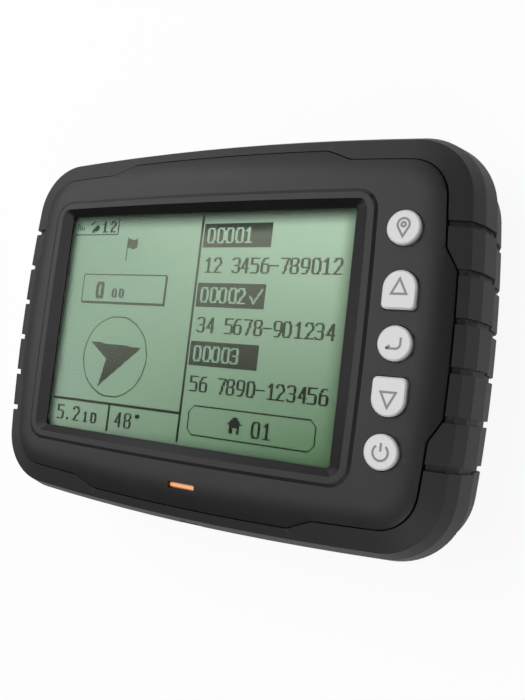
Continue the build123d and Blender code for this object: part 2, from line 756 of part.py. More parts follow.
def build_all():
    """Every piece, by node name."""
    pieces = {
        "front_housing": front_housing(),
        "rear_housing": rear_housing(),
        "front_bumper": front_bumper(),
        "rear_bumper": rear_bumper(),
        "housing_gasket": block(seal_ring(), split_height - seal_depth, split_height),
        "keypad_seal": keypad_seal(),
        "snap_domes": snap_domes(),
        "light_bar": light_bar(),
        "main_board": main_board(),
        "status_lamp": status_lamp(),
        "processor": under_board(*processor_size),
        "memory_chip": under_board(*memory_size),
        "power_coil": under_board(*coil_size),
        "shield_can": shield_can(),
        "buzzer": post(*buzzer_place, buzzer_radius, board_bottom - buzzer_height, board_bottom),
        "backup_cell": post(*backup_place, backup_radius, board_bottom - backup_height, board_bottom),
        "charging_socket": charging_socket(),
        "antenna_board": antenna_board(),
        "antenna_patch": antenna_patch(),
        "port_door": port_door(),
        "port_seal": port_seal(),
        "port_pin": hinge_rod(hinge_pin_radius, port_door_length / 2),
        "battery_pack": battery_pack(),
        "battery_pad": block(Pos(0, bay_y) * RectangleRounded(foam_length, foam_width, 2.0), door_top,
                             battery_bottom),
        "battery_pins": joined(post(x, y, pin_radius, battery_bottom + battery_thickness, board_bottom)
                               for x, y in pin_places()),
        "battery_door": battery_door(),
        "battery_gasket": block(gasket_ring(), door_top, door_top + gasket_depth),
        "door_screws": joined(door_screw(side) for side in (-1, 1)),
        "door_inserts": joined(sleeve(side * door_screw_x, bay_y, insert_radius, door_screw_radius, door_top,
                                      door_top + insert_length) for side in (-1, 1)),
        "case_screws": joined(case_screw(x, y) for x, y in case_screw_places),
        "board_screws": joined(board_screw(x, y) for x, y in board_screw_places),
        "mount_insert": sleeve(0, mount_y, mount_radius, mount_thread, 0.2, mount_depth),
    }
    pieces.update(screen_stack())
    pieces.update({f"key_{name}": key(name) for name in key_places})
    return pieces


os.makedirs("parts", exist_ok=True)
for node, piece in build_all().items():
    export_step(piece, f"parts/{node}.step")
    box = piece.bounding_box()
    print(f"{node}: {len(piece.solids())} solid, z {box.min.Z:.2f} to {box.max.Z:.2f}")
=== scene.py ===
from math import cos, pi, radians, sin

import bmesh
import bpy
from mathutils import Matrix, Vector


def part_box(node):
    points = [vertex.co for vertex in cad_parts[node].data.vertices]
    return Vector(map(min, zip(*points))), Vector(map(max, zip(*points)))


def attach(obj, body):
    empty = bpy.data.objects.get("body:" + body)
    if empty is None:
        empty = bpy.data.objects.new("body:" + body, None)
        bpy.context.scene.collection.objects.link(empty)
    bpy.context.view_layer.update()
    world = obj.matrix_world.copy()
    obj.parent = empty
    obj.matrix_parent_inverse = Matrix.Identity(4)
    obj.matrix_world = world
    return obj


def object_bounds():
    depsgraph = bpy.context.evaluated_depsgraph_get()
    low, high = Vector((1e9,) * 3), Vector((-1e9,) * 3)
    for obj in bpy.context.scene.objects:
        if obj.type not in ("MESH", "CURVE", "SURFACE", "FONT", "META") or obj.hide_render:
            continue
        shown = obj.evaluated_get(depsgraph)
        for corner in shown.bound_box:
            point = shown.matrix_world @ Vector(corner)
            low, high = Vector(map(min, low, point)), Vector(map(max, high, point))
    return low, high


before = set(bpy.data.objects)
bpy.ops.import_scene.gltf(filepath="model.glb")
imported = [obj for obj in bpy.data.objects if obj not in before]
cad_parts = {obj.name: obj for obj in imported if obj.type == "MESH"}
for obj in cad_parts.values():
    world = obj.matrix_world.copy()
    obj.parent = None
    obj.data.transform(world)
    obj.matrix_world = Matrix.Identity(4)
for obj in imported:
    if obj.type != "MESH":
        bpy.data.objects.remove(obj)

cad_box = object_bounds()
mm = 0.001

# --- Camera -------------------------------------------------------------------------------------
# The case is looked at from the key side and a little below, close enough that the near end with
# the keys is drawn clearly larger than the far end. A 38 mm lens on a 36 mm frame does that.
window_low, window_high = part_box("lens")
window_middle = (window_low + window_high) / 2

aim = window_middle + Vector((19.1, -3.7, 0)) * mm
view_axis = Vector((-0.501, 0.070, -0.863)).normalized()
near_up = Vector((-0.065, 0.991, 0.118))
camera_distance = 150.8 * mm

camera_data = bpy.data.cameras.new("camera")
camera_data.sensor_width = 36
camera_data.lens = 38.2
camera_data.clip_start = 10 * mm
camera = bpy.data.objects.new("camera", camera_data)
bpy.context.scene.collection.objects.link(camera)
camera_right = near_up.cross(-view_axis).normalized()
camera_up = (-view_axis).cross(camera_right)
camera.matrix_world = Matrix((camera_right, camera_up, -view_axis)).transposed().to_4x4()
camera.location = aim - view_axis * camera_distance
bpy.context.scene.camera = camera


# --- Front shell --------------------------------------------------------------------------------
# The upper half of the case, injection moulded in black ABS. The mould is spark eroded, which
# leaves a fine even matt that holds a soft sheen. The rim round the screen is part of it.
def linear(code):
    """An sRGB hex colour as the linear colour that a shader takes."""
    parts = [int(code[i:i + 2], 16) / 255 for i in (0, 2, 4)]
    return [p / 12.92 if p <= 0.04045 else ((p + 0.055) / 1.055) ** 2.4 for p in parts] + [1.0]


def add(material, kind, links, **settings):
    """Adds a node. Settings name its properties, links its inputs with their sources or values."""
    node = material.node_tree.nodes.new("ShaderNode" + kind)
    for name, value in settings.items():
        setattr(node, name, value)
    for name, value in links.items():
        if isinstance(value, bpy.types.NodeSocket):
            material.node_tree.links.new(value, node.inputs[name])
        else:
            node.inputs[name].default_value = value
    return node


def blank_material(name):
    """A material with nothing in its node tree yet."""
    material = bpy.data.materials.new(name)
    material.use_nodes = True
    material.node_tree.nodes.clear()
    return material


def dress(node, material):
    """Gives a carried-over piece its finish."""
    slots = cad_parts[node].data.materials
    slots.clear()
    slots.append(material)


# an edge that turns less than the first is part of a curve, and past the second it is square
curve_turn, square_turn = radians(8), radians(50)
same_spot = 0.001 * mm


def soften(node, width, crease=1.0):
    """Rounds a piece's square edges this many millimetres wide, and blunt ones crease times that."""
    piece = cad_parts[node]
    mesh = piece.data
    # each built face is a patch of triangles with corners of its own, so an edge between two
    # patches is there twice, in the same place
    meetings = {}
    for face in mesh.polygons:
        face.use_smooth = True
        for a, b in face.edge_keys:
            ends = frozenset(tuple(round(v / same_spot) for v in mesh.vertices[i].co) for i in (a, b))
            meetings.setdefault(ends, []).append(((a, b), face.normal.copy()))
    numbers = {key: i for i, key in enumerate(mesh.edge_keys)}
    weights = mesh.attributes.new("bevel_weight_edge", "FLOAT", "EDGE")
    for sides in meetings.values():
        if len({key for key, _ in sides}) > 1:
            (_, one), (_, other) = sides[0], sides[-1]
            turn = one.angle(other, 0)
            if turn > curve_turn:
                for key, _ in sides:
                    weights.data[numbers[key]].value = 1 / crease if turn > square_turn else 1.0
    weld = piece.modifiers.new("weld", "WELD")
    weld.merge_threshold = 2 * same_spot
    bevel = piece.modifiers.new("bevel", "BEVEL")
    bevel.width = crease * width * mm
    bevel.segments = 2
    bevel.limit_method = "WEIGHT"
    shading = piece.modifiers.new("shading", "WEIGHTED_NORMAL")
    shading.mode = "FACE_AREA"
    shading.weight = 60


def moulded_abs(name, dark, light, roughness, grain_depth=0.02, ior=1.35):
    """ABS with an eroded grain, this many millimetres deep, and slow cloudiness in the colour."""
    material = blank_material(name)
    place = add(material, "TexCoord", {}).outputs["Object"]
    cloud = add(material, "TexNoise", {"Vector": place, "Scale": 1 / (9 * mm), "Detail": 2.0})
    tint = add(material, "Mix", {"Factor": cloud.outputs["Fac"], "A": linear(dark), "B": linear(light)},
               data_type="RGBA")
    # the real grain is near 0.05 mm, drawn as 0.3 mm so that it shows
    grain = add(material, "TexNoise", {"Vector": place, "Scale": 1 / (0.3 * mm), "Detail": 3.0})
    bump = add(material, "Bump", {"Height": grain.outputs["Fac"], "Strength": 0.35,
                                  "Distance": grain_depth * mm})
    gloss = add(material, "MapRange", {"Value": cloud.outputs["Fac"], "To Min": roughness - 0.05,
                                       "To Max": roughness + 0.05})
    # ABS itself is near 1.54. The default index here is lowered by trial, standing in for the gloss
    # that eroded pits lose
    shader = add(material, "BsdfPrincipled", {"Base Color": tint.outputs["Result"], "IOR": ior,
                                              "Roughness": gloss.outputs["Result"],
                                              "Normal": bump.outputs["Normal"]})
    add(material, "OutputMaterial", {"Surface": shader.outputs["BSDF"]})
    return material


# broad soft sheen on near-black, with no sharp reflection
shell_abs = moulded_abs("abs_spark_eroded_black", "181819", "1e1e1f", 0.42)
dress("front_housing", shell_abs)
# the walls down to the window get a smoother finish, with an index set by trial, and a blacker
# colour than the face, which is painted shade of the recess, so the display's edge stays crisp
recess_wall_painted_shade = moulded_abs("abs_polished_black_painted_shade", "0c0c0d", "101011", 0.35, 0.002, 1.3)
shell_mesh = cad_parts["front_housing"].data
shell_mesh.materials.append(recess_wall_painted_shade)
recess_half_length, recess_half_width = 40.3 * mm, 27.3 * mm
recess_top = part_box("front_housing")[1].z - 0.05 * mm
# the faces sunk in the recess take the blacker colour, the painted shade
for face in shell_mesh.polygons:
    reach = face.center - window_middle
    sunk = window_low.z < face.center.z < recess_top
    if sunk and abs(reach.x) < recess_half_length and abs(reach.y) < recess_half_width:
        face.material_index = 1
soften("front_housing", 0.22, 1.8)

# --- Light bar ----------------------------------------------------------------------------------
# A clear orange polycarbonate light pipe that glows in its slot, hottest along its middle over
# the lamp on the board. The lamp itself is a small moulded package in the same orange.
bar_low, bar_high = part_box("light_bar")
bar_middle = (bar_low + bar_high) / 2
# pale orange in a narrow line along the middle, and deep red-brown at the edges
hot_line, dark_edge = 0.2 * mm, 0.5 * mm
glow = blank_material("polycarbonate_orange_lit")
place = add(glow, "TexCoord", {}).outputs["Object"]
apart = add(glow, "VectorMath", {0: place, 1: bar_middle}, operation="SUBTRACT")
axes = add(glow, "SeparateXYZ", {"Vector": apart.outputs["Vector"]})
off_middle = add(glow, "Math", {0: axes.outputs["Y"]}, operation="ABSOLUTE")
fade = add(glow, "MapRange", {"Value": off_middle.outputs["Value"], "From Min": hot_line,
                              "From Max": dark_edge}, interpolation_type="SMOOTHSTEP")
heat = add(glow, "Mix", {"Factor": fade.outputs["Result"], "A": linear("fb9f52"),
                         "B": linear("4a1d0e")}, data_type="RGBA")
shader = add(glow, "BsdfPrincipled", {"Base Color": linear("2a1008"), "Roughness": 0.3, "IOR": 1.58,
                                      "Emission Color": heat.outputs["Result"],
                                      "Emission Strength": 1.0})
add(glow, "OutputMaterial", {"Surface": shader.outputs["BSDF"]})
dress("light_bar", glow)
dress("status_lamp", glow)

# --- Keys ---------------------------------------------------------------------------------------
# Five hard polycarbonate caps with a silver-grey satin paint. Each stands just proud of the face
# in a close-fitting hole, with a chamfered rim and a symbol pad printed in darker grey.
# the paint's fine flakes give a bright even grey with a soft edge light on the chamfer
key_paint = blank_material("polycarbonate_satin_silver_paint")
place = add(key_paint, "TexCoord", {}).outputs["Object"]
fleck = add(key_paint, "TexNoise", {"Vector": place, "Scale": 1 / (0.25 * mm), "Detail": 2.0})
tint = add(key_paint, "Mix", {"Factor": fleck.outputs["Fac"], "A": linear("cacaca"),
                              "B": linear("d6d6d6")}, data_type="RGBA")
bump = add(key_paint, "Bump", {"Height": fleck.outputs["Fac"], "Strength": 0.1, "Distance": 0.01 * mm})
shader = add(key_paint, "BsdfPrincipled", {"Base Color": tint.outputs["Result"], "Roughness": 0.42,
                                           "IOR": 1.5, "Normal": bump.outputs["Normal"]})
add(key_paint, "OutputMaterial", {"Surface": shader.outputs["BSDF"]})

# pad printing lays the ink a little unevenly, so the lines are mid grey and slightly mottled
key_ink = blank_material("pad_print_grey")
place = add(key_ink, "TexCoord", {}).outputs["Object"]
speck = add(key_ink, "TexNoise", {"Vector": place, "Scale": 1 / (0.12 * mm)})
tint = add(key_ink, "Mix", {"Factor": speck.outputs["Fac"], "A": linear("757575"),
                            "B": linear("868686")}, data_type="RGBA")
shader = add(key_ink, "BsdfPrincipled", {"Base Color": tint.outputs["Result"], "Roughness": 0.5})
add(key_ink, "OutputMaterial", {"Surface": shader.outputs["BSDF"]})

ink_height = 0.02 * mm
ink_width = 0.44 * mm
# a corner's mitre grows with the turn, until the cosine of half the turn is down to this
sharpest_mitre = 0.3


def ribbon(mesh, points, width, closed, bottom, height):
    """Adds a flat line of even width through the points, with mitred corners, as a closed solid."""
    count = len(points)
    sides = []
    for i, point in enumerate(points):
        before = points[i - 1] if closed or i else None
        after = points[(i + 1) % count] if closed or i < count - 1 else None
        runs = [(b - a).normalized() for a, b in ((before, point), (point, after)) if a and b]
        normals = [Vector((-run.y, run.x)) for run in runs]
        middle = sum(normals, Vector((0, 0))).normalized()
        reach = width / 2 / max(middle.dot(normals[0]), sharpest_mitre)
        sides.append((point + middle * reach, point - middle * reach))
    top = bottom + height
    rings = [[mesh.verts.new((p.x, p.y, z))
              for p, z in ((left, bottom), (right, bottom), (right, top), (left, top))]
             for left, right in sides]
    for i in range(count if closed else count - 1):
        ring, following = rings[i], rings[(i + 1) % count]
        for j in range(4):
            mesh.faces.new((ring[j], ring[(j + 1) % 4], following[(j + 1) % 4], following[j]))
    if not closed:
        mesh.faces.new(rings[0])
        mesh.faces.new(rings[-1][::-1])


def arc(centre, radius, start, end, steps):
    """Points along an arc, with angles in degrees."""
    angles = [radians(start + (end - start) * i / steps) for i in range(steps + 1)]
    return [Vector((centre[0] + radius * cos(a), centre[1] + radius * sin(a))) for a in angles]


def new_piece(name, mesh, material, body):
    """Links a finished mesh as a piece that rides on a body."""
    bmesh.ops.recalc_face_normals(mesh, faces=mesh.faces)
    data = bpy.data.meshes.new(name)
    mesh.to_mesh(data)
    mesh.free()
    data.materials.append(material)
    piece = bpy.data.objects.new(name, data)
    bpy.context.scene.collection.objects.link(piece)
    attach(piece, body)


# the lines of each key's symbol, in millimetres from the key's centre, and whether each is closed
triangle = [Vector(p) for p in ((-1.45, -1.15), (1.45, -1.15), (0, 1.65))]
pin_side = arc((0, 0.5), 1.15, -25, 205, 20)
hook_start, hook_end = [Vector((1.2, 1.1)), Vector((1.2, 0.0))], [Vector((-1.5, -1.0))]
symbols = {
    "waypoint": [(pin_side + [Vector((0, -1.75))], True), (arc((0, 0.5), 0.42, 0, 324, 9), True)],
    "up": [(triangle, True)],
    "enter": [(hook_start + arc((0.3, -0.1), 0.9, 0, -90, 8) + hook_end, False),
              ([Vector((-0.75, -0.45)), Vector((-1.55, -1.0))], False)],
    "down": [([-p for p in triangle], True)],
    "power": [(arc((0, -0.1), 1.45, 128, 412, 24), False),
              ([Vector((0, 1.65)), Vector((0, 0.1))], False)],
}
for name, lines in symbols.items():
    node = f"key_{name}"
    dress(node, key_paint)
    soften(node, 0.1)
    low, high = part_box(node)
    flange = (high.x - low.x) / 2
    # the flange is round on one side, so the key's centre is that far from the round end
    middle = Vector(((low.x + high.x) / 2, low.y + flange if name == "down" else high.y - flange))
    print_mesh = bmesh.new()
    for points, closed in lines:
        ribbon(print_mesh, [middle + p * mm for p in points], ink_width, closed, high.z, ink_height)
    new_piece(f"symbol_{name}", print_mesh, key_ink, node)

# --- Keypad seal and snap domes -----------------------------------------------------------------
# A moulded silicone sheet with five holes keeps water out behind the keys. Each stem presses a
# stainless spring dome on the board, which gives the key its click.
# dust clings to silicone and makes its grey dull and uneven
silicone = blank_material("silicone_moulded_grey")
place = add(silicone, "TexCoord", {}).outputs["Object"]
dust = add(silicone, "TexNoise", {"Vector": place, "Scale": 1 / (0.6 * mm), "Detail": 4.0})
tint = add(silicone, "Mix", {"Factor": dust.outputs["Fac"], "A": linear("5b5d60"),
                             "B": linear("6b6d70")}, data_type="RGBA")
shader = add(silicone, "BsdfPrincipled", {"Base Color": tint.outputs["Result"], "Roughness": 0.6,
                                          "IOR": 1.41})
add(silicone, "OutputMaterial", {"Surface": shader.outputs["BSDF"]})
dress("keypad_seal", silicone)


def bare_metal(name, colour, roughness, lay, anisotropic=0.0):
    """Plain metal with fine marks, lay millimetres apart, that break up its shine."""
    material = blank_material(name)
    place = add(material, "TexCoord", {}).outputs["Object"]
    marks = add(material, "TexNoise", {"Vector": place, "Scale": 1 / (lay * mm), "Detail": 4.0})
    gloss = add(material, "MapRange", {"Value": marks.outputs["Fac"], "To Min": roughness - 0.08,
                                       "To Max": roughness + 0.12})
    bump = add(material, "Bump", {"Height": marks.outputs["Fac"], "Strength": 0.1,
                                  "Distance": 0.01 * mm})
    shader = add(material, "BsdfPrincipled", {"Base Color": linear(colour), "Metallic": 1.0,
                                              "Roughness": gloss.outputs["Result"],
                                              "Anisotropic": anisotropic,
                                              "Normal": bump.outputs["Normal"]})
    add(material, "OutputMaterial", {"Surface": shader.outputs["BSDF"]})
    return material


# rolling draws the marks one way, so the shine is drawn out across them
spring_steel = bare_metal("stainless_rolled", "b9bcc0", 0.25, 0.4, 0.4)
dress("snap_domes", spring_steel)

# --- Window -------------------------------------------------------------------------------------
# A clear acrylic pane held to the shell by double-sided foam tape. It is thin and polished, and
# here it only adds a faint reflection over the display.
# acrylic is 1.49. The 1.1 used here is set by trial, as the real index washed out the display
acrylic = blank_material("acrylic_clear_polished")
place = add(acrylic, "TexCoord", {}).outputs["Object"]
waves = add(acrylic, "TexNoise", {"Vector": place, "Scale": 1 / (25 * mm)})
gloss = add(acrylic, "MapRange", {"Value": waves.outputs["Fac"], "To Min": 0.02, "To Max": 0.06})
glass = add(acrylic, "BsdfPrincipled", {"Base Color": linear("ffffff"), "IOR": 1.1,
                                        "Roughness": gloss.outputs["Result"],
                                        "Transmission Weight": 1.0})
clear = add(acrylic, "BsdfTransparent", {})
ray = add(acrylic, "LightPath", {})
let_light_in = add(acrylic, "MixShader", {0: ray.outputs["Is Shadow Ray"], 1: glass.outputs["BSDF"],
                                          2: clear.outputs["BSDF"]})
add(acrylic, "OutputMaterial", {"Surface": let_light_in.outputs["Shader"]})
dress("lens", acrylic)

# open pores keep the foam a flat black
foam_tape = blank_material("foam_tape_black")
place = add(foam_tape, "TexCoord", {}).outputs["Object"]
pores = add(foam_tape, "TexVoronoi", {"Vector": place, "Scale": 1 / (0.2 * mm)})
tint = add(foam_tape, "Mix", {"Factor": pores.outputs["Distance"], "A": linear("0c0c0c"),
                              "B": linear("1b1b1b")}, data_type="RGBA")
shader = add(foam_tape, "BsdfPrincipled", {"Base Color": tint.outputs["Result"], "Roughness": 0.9})
add(foam_tape, "OutputMaterial", {"Surface": shader.outputs["BSDF"]})
dress("lens_tape", foam_tape)

# --- Display cell -------------------------------------------------------------------------------
# A green-grey supertwist liquid crystal cell of 240 by 160 dots. Seen at a slant it pales towards
# one corner and deepens towards the other, with a painted sheen in the pale corner, and the dots
# stand a little apart.
dot = 0.31 * mm
columns, rows = 240, 160
cell_low, cell_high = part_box("lcd_cell")
cell_middle = (cell_low + cell_high) / 2
dots_corner = window_middle + Vector((-columns / 2, rows / 2, 0)) * dot
# how far the corner tones and the painted shade at the frame reach from the middle of the picture
picture_reach_x, picture_reach_y = 36 * mm, 24 * mm
side_shade_start, side_shade_end = 33 * mm, 38.5 * mm
top_shade_start, top_shade_end = 21.5 * mm, 25.5 * mm
# dull grey-green. Its gloss is off by trial, as gloss washed it out, and its colours are written
# darker than they show, since under the pane it is lit about 1.45 times as strongly. The corner
# tones, which hold a painted sheen, and the edge shade, which is painted shadow of the frame, are
# fitted to this camera's angle, and stay on the glass from any other
cell_glass = blank_material("lcd_glass_green_grey")
place = add(cell_glass, "TexCoord", {}).outputs["Object"]
apart = add(cell_glass, "VectorMath", {0: place, 1: cell_middle}, operation="SUBTRACT")
axes = add(cell_glass, "SeparateXYZ", {"Vector": apart.outputs["Vector"]})
across = add(cell_glass, "MapRange", {"Value": axes.outputs["X"], "From Min": -picture_reach_x,
                                      "From Max": picture_reach_x})
upward = add(cell_glass, "MapRange", {"Value": axes.outputs["Y"], "From Min": -picture_reach_y,
                                      "From Max": picture_reach_y})
# corner colours: the cell's own tone at a slant, with a painted sheen in the palest corner
low_row = add(cell_glass, "Mix", {"Factor": across.outputs["Result"], "A": linear("748976"),
                                  "B": linear("456145")}, data_type="RGBA")
high_row = add(cell_glass, "Mix", {"Factor": across.outputs["Result"], "A": linear("7d9481"),
                                   "B": linear("9bb29c")}, data_type="RGBA")
field = add(cell_glass, "Mix", {"Factor": upward.outputs["Result"], "A": low_row.outputs["Result"],
                                "B": high_row.outputs["Result"]}, data_type="RGBA")
# painted shadow of the frame along the top edge of the cell
top_painted_shadow = add(cell_glass, "MapRange", {"Value": axes.outputs["Y"], "From Min": top_shade_start,
                                        "From Max": top_shade_end}, interpolation_type="SMOOTHSTEP")
shaded = add(cell_glass, "Mix", {"Factor": top_painted_shadow.outputs["Result"], "A": field.outputs["Result"],
                                 "B": linear("39433a")}, data_type="RGBA")
# painted shade along the right edge, by the frame
side_painted_shade = add(cell_glass, "MapRange", {"Value": axes.outputs["X"], "From Min": side_shade_start,
                                         "From Max": side_shade_end}, interpolation_type="SMOOTHSTEP")
edged = add(cell_glass, "Mix", {"Factor": side_painted_shade.outputs["Result"], "A": shaded.outputs["Result"],
                                "B": linear("3c4a38")}, data_type="RGBA")
cloud = add(cell_glass, "TexNoise", {"Vector": place, "Scale": 1 / (14 * mm), "Detail": 2.0})
haze = add(cell_glass, "Mix", {"Factor": 0.06, "A": edged.outputs["Result"],
                               "B": cloud.outputs["Color"]}, data_type="RGBA", blend_type="SOFT_LIGHT")
shader = add(cell_glass, "BsdfPrincipled", {"Base Color": haze.outputs["Result"], "Roughness": 0.45,
                                            "Specular IOR Level": 0.0})
add(cell_glass, "OutputMaterial", {"Surface": shader.outputs["BSDF"]})
dress("lcd_cell", cell_glass)

# --- What the display shows ---------------------------------------------------------------------
# Dark dots of the cell, drawn where a picture of plain numbers, a compass arrow, a flag and a
# house leaves them on. Each is a flat cell of the grid on top of the display glass. Columns count
# from the left of the picture and rows from its top.
dark_dots = set()


def fill(left, top, right, bottom, on=True):
    """Turns a block of dots on or off, corners included."""
    block = {(c, r) for c in range(left, right + 1) for r in range(top, bottom + 1)}
    if on:
        dark_dots.update(block)
    else:
        dark_dots.difference_update(block)


def line(start, end, wide=1, tall=1, on=True):
    """A straight line of dots with a pen this wide and tall."""
    steps = max(abs(end[0] - start[0]), abs(end[1] - start[1]), 1)
    for i in range(int(steps) + 1):
        c = round(start[0] + (end[0] - start[0]) * i / steps)
        r = round(start[1] + (end[1] - start[1]) * i / steps)
        fill(c, r, c + wide - 1, r + tall - 1, on)


def path(points, wide=1, tall=1, on=True):
    """Straight lines of dots from each point to the next."""
    for start, end in zip(points, points[1:]):
        line(start, end, wide, tall, on)


def polygon(points):
    """Fills a polygon of dots."""
    low, high = min(r for _, r in points), max(r for _, r in points)
    for r in range(int(low), int(high) + 1):
        crossings = sorted(a[0] + (r + 0.5 - a[1]) * (b[0] - a[0]) / (b[1] - a[1])
                           for a, b in zip(points, points[1:] + points[:1])
                           if (a[1] <= r + 0.5) != (b[1] <= r + 0.5))
        for start, end in zip(crossings[::2], crossings[1::2]):
            fill(round(start), r, round(end) - 1, r)


# pen strokes of each digit, on a grid 5 wide and 10 tall with its zero at the top left
digit_strokes = {
    "0": [((1, 0), (4, 0), (5, 2), (5, 8), (4, 10), (1, 10), (0, 8), (0, 2), (1, 0))],
    "1": [((1, 2), (3, 0), (3, 10)), ((1, 10), (5, 10))],
    "2": [((0, 2), (1, 0), (4, 0), (5, 2), (5, 4), (0, 10), (5, 10))],
    "3": [((0, 1), (1, 0), (4, 0), (5, 1), (5, 4), (4, 5), (2, 5)),
          ((4, 5), (5, 6), (5, 9), (4, 10), (1, 10), (0, 9))],
    "4": [((4, 10), (4, 0), (0, 7), (5, 7))],
    "5": [((5, 0), (0, 0), (0, 4), (4, 4), (5, 5), (5, 9), (4, 10), (0, 10))],
    "6": [((4, 0), (2, 0), (0, 3), (0, 9), (1, 10), (4, 10), (5, 9), (5, 5), (4, 4), (0, 4))],
    "7": [((0, 0), (5, 0), (2, 10))],
    "8": [((1, 0), (4, 0), (5, 1), (5, 3), (4, 5), (1, 5), (0, 3), (0, 1), (1, 0)),
          ((1, 5), (0, 6), (0, 9), (1, 10), (4, 10), (5, 9), (5, 6), (4, 5))],
    "9": [((1, 10), (3, 10), (5, 7), (5, 1), (4, 0), (1, 0), (0, 1), (0, 5), (1, 6), (5, 6))],
    "-": [((0, 5), (5, 5))],
    ".": [((2, 9), (2, 10))],
    "°": [((1, 0), (3, 0), (3, 2), (1, 2), (1, 0))],
    " ": [],
}


def number(text, left, top, pitch=8, wide=2, tall=1, scale=1.0, on=True):
    """Writes digits from their pen strokes, each this many dots after the one before."""
    for i, sign in enumerate(text):
        start = left + round(i * pitch)
        for stroke in digit_strokes[sign]:
            path([(start + c * scale, top + r * scale) for c, r in stroke], wide, tall, on)


# status box at the top left: signal, a satellite and how many are in view
line((0, 12), (43, 12))
line((43, 0), (43, 12))
for i, height in enumerate((6, 5, 3, 2)):
    fill(2 + 2 * i, 9 - height, 2 + 2 * i, 8)
path(((17, 9), (21, 5)), 3, 2)
path(((15, 4), (18, 2)), 2, 1)
path(((21, 9), (23, 7)), 2, 1)
number("12", 27, 2, scale=0.8)
# flag, and the distance box with its heavier right and lower edges
fill(54, 15, 54, 32)
polygon([(54, 15), (59, 17), (64, 16), (64, 23), (59, 24), (54, 22)])
path(((15, 43), (94, 43), (94, 64), (15, 64), (15, 43)))
fill(95, 44, 95, 65)
fill(16, 65, 95, 65)
number("0", 29, 49, wide=3, tall=2, scale=1.1)
number("00", 45, 54, pitch=7, scale=0.6)
# compass ring and its arrow
ring_column, ring_row, ring_radius, ring_steps = 55, 104.5, 30, 96
ring_angles = [2 * pi * i / ring_steps for i in range(ring_steps + 1)]
path([(ring_column + ring_radius * cos(a), ring_row + ring_radius * sin(a)) for a in ring_angles])
polygon([(31, 95), (80, 97), (43, 128), (48, 107)])
# speed and bearing along the bottom
fill(0, 139, 119, 140)
fill(56, 141, 57, 159)
number("5.2", 6, 145)
number("10", 32, 148, scale=0.7)
number("48°", 63, 145, pitch=9)
# three numbered places, each with its code under it
fill(120, 0, 121, 159)
place_pitch, digit_pitch = 41.5, 7.6
for i, code in enumerate(("12 3456-789012", "34 5678-901234", "56 7890-123456")):
    top = round(6 + place_pitch * i)
    fill(123, top, 177, top + 16)
    number(f"0000{i + 1}", 126, top + 3, digit_pitch, on=False)
    number(code, 126, top + 24, digit_pitch)
path(((166, 56), (169, 60), (175, 51)), 1, 2, on=False)
path(((132, 133), (221, 133), (225, 137), (225, 149), (221, 153), (132, 153), (128, 149), (128, 137),
      (132, 133)))
# house and its number in the lower box
polygon([(166, 137), (172, 143), (170, 143), (170, 149), (162, 149), (162, 143), (160, 143)])
fill(165, 145, 167, 148, on=False)
number("01", 179, 139)

# black near the lower right corner of the picture and greyer towards the upper left, with paler
# lines between the dots. The grey is painted reflection of the pane together with the cell's weaker
# contrast at a slant, and the change of tone is fitted to this camera's angle too
dot_film = blank_material("lcd_dots_dark")
place = add(dot_film, "TexCoord", {}).outputs["Object"]
off_corner = add(dot_film, "VectorMath", {0: place, 1: dots_corner}, operation="SUBTRACT")
# counted in dots from the corner, so columns are above zero and rows below
scaled = add(dot_film, "VectorMath", {0: off_corner.outputs["Vector"], "Scale": 1 / dot},
             operation="SCALE")
cell_part = add(dot_film, "VectorMath", {0: scaled.outputs["Vector"]}, operation="FRACTION")
fine = add(dot_film, "SeparateXYZ", {"Vector": cell_part.outputs["Vector"]})
# the clear line between two dots is 0.03 mm, a tenth of the pitch, and shows through only partly
gap, gap_clearness = 0.1, 0.35
near_x = add(dot_film, "Math", {0: fine.outputs["X"], 1: gap}, operation="LESS_THAN")
near_y = add(dot_film, "Math", {0: fine.outputs["Y"], 1: gap}, operation="LESS_THAN")
between = add(dot_film, "Math", {0: near_x.outputs["Value"], 1: near_y.outputs["Value"]},
              operation="MAXIMUM")
share = add(dot_film, "Math", {0: between.outputs["Value"], 1: gap_clearness}, operation="MULTIPLY")
grid = add(dot_film, "SeparateXYZ", {"Vector": scaled.outputs["Vector"]})
# the tone changes down the rows, and a fifth as fast along the columns
along_columns, black_end, reflected_grey_end = -0.2, -190.0, -40.0
slant = add(dot_film, "Math", {0: grid.outputs["X"], 1: along_columns, 2: grid.outputs["Y"]},
            operation="MULTIPLY_ADD")
depth = add(dot_film, "MapRange", {"Value": slant.outputs["Value"], "From Min": black_end,
                                   "From Max": reflected_grey_end}, interpolation_type="SMOOTHSTEP")
# the grey end is painted reflection of the pane over the dots, with the cell's weaker contrast
tone = add(dot_film, "Mix", {"Factor": depth.outputs["Result"], "A": linear("0d100c"),
                             "B": linear("5a5e54")}, data_type="RGBA")
# the topmost rows lie in the shade of the frame
shade_start, shade_end = -14.0, -8.0
top_rows = add(dot_film, "MapRange", {"Value": grid.outputs["Y"], "From Min": shade_start,
                                      "From Max": shade_end})
shadowed = add(dot_film, "Mix", {"Factor": top_rows.outputs["Result"], "A": tone.outputs["Result"],
                                 "B": linear("2c322b")}, data_type="RGBA")
tint = add(dot_film, "Mix", {"Factor": share.outputs["Value"], "A": shadowed.outputs["Result"],
                             "B": linear("5d6c58")}, data_type="RGBA")
shader = add(dot_film, "BsdfPrincipled", {"Base Color": tint.outputs["Result"], "Roughness": 0.45,
                                          "Specular IOR Level": 0.0})
add(dot_film, "OutputMaterial", {"Surface": shader.outputs["BSDF"]})

film_thickness = 0.02 * mm
screen_mesh = bmesh.new()
corners = {}


def corner(c, r, level):
    """The shared corner of dots at this column and row, on the glass or above it."""
    key = (c, r, level)
    if key not in corners:
        corners[key] = screen_mesh.verts.new((dots_corner.x + c * dot, dots_corner.y - r * dot,
                                              cell_high.z + level * film_thickness))
    return corners[key]


